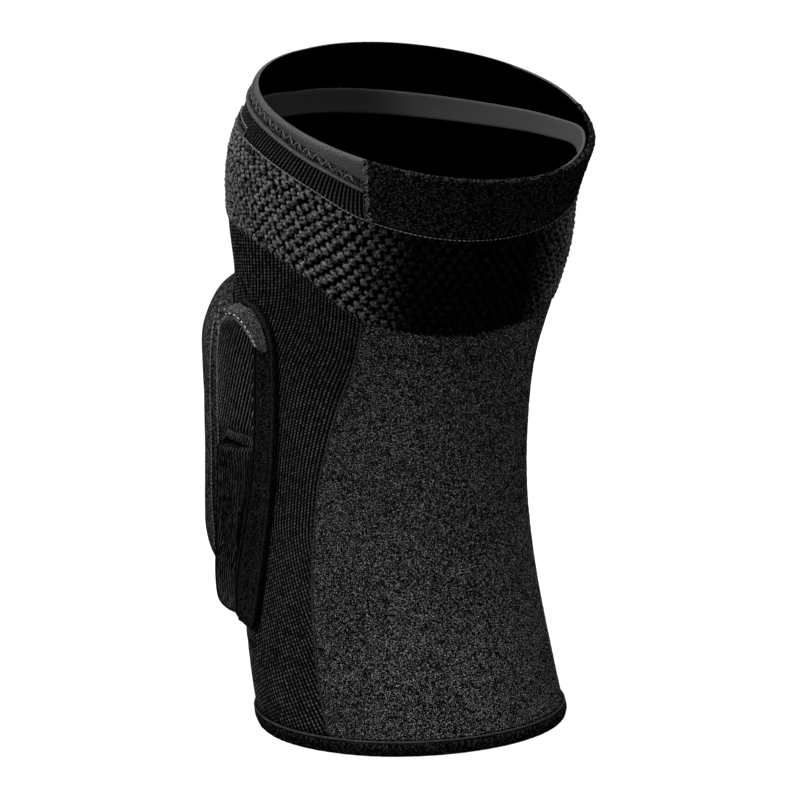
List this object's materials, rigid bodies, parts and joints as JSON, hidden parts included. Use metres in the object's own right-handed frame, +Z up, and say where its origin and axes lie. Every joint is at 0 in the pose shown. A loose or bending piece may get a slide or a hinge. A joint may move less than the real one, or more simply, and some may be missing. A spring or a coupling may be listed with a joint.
{
  "type": "padded knee sleeve",
  "caption": "Black knitted knee sleeve in its worn form, with a crowned pad over the knee, slim ribbed side pads, a bubble-knit thigh ring, bound ends and an inner grip strip.",
  "frame": {"origin": "the middle of the knee, on the leg's axis at the height of the kneecap", "axes": "+Z up the leg toward the thigh, -Y toward the front of the knee, +X toward the left side pad"},
  "size_m": [0.1382, 0.1745, 0.283],
  "materials": {
    "rib_knit": "black ribbed knit, matt",
    "pile_knit": "black loop-pile knit, matt and speckled",
    "bubble_knit": "charcoal bubble knit, matt",
    "band_elastic": "charcoal brushed elastic",
    "pad_cover": "black smooth knit over foam",
    "silicone": "dark grey silicone, satin"
  },
  "bodies": {
    "root": {"knit_front": "rib_knit", "back_panel": "pile_knit", "thigh_knit": "bubble_knit", "rib_strip": "rib_knit", "top_band": "band_elastic", "top_back_panel": "pile_knit", "grip_strip": "silicone", "bottom_hem": "pile_knit", "seam_tab": "band_elastic", "front_pad": "pad_cover", "side_pad_base_left": "pad_cover", "side_pad_base_right": "pad_cover", "side_pad_cap_left": "pad_cover", "side_pad_cap_right": "pad_cover", "side_pad_upper_left": "rib_knit", "side_pad_upper_right": "rib_knit", "side_pad_lower_left": "rib_knit", "side_pad_lower_right": "rib_knit"}
  },
  "joints": []
}
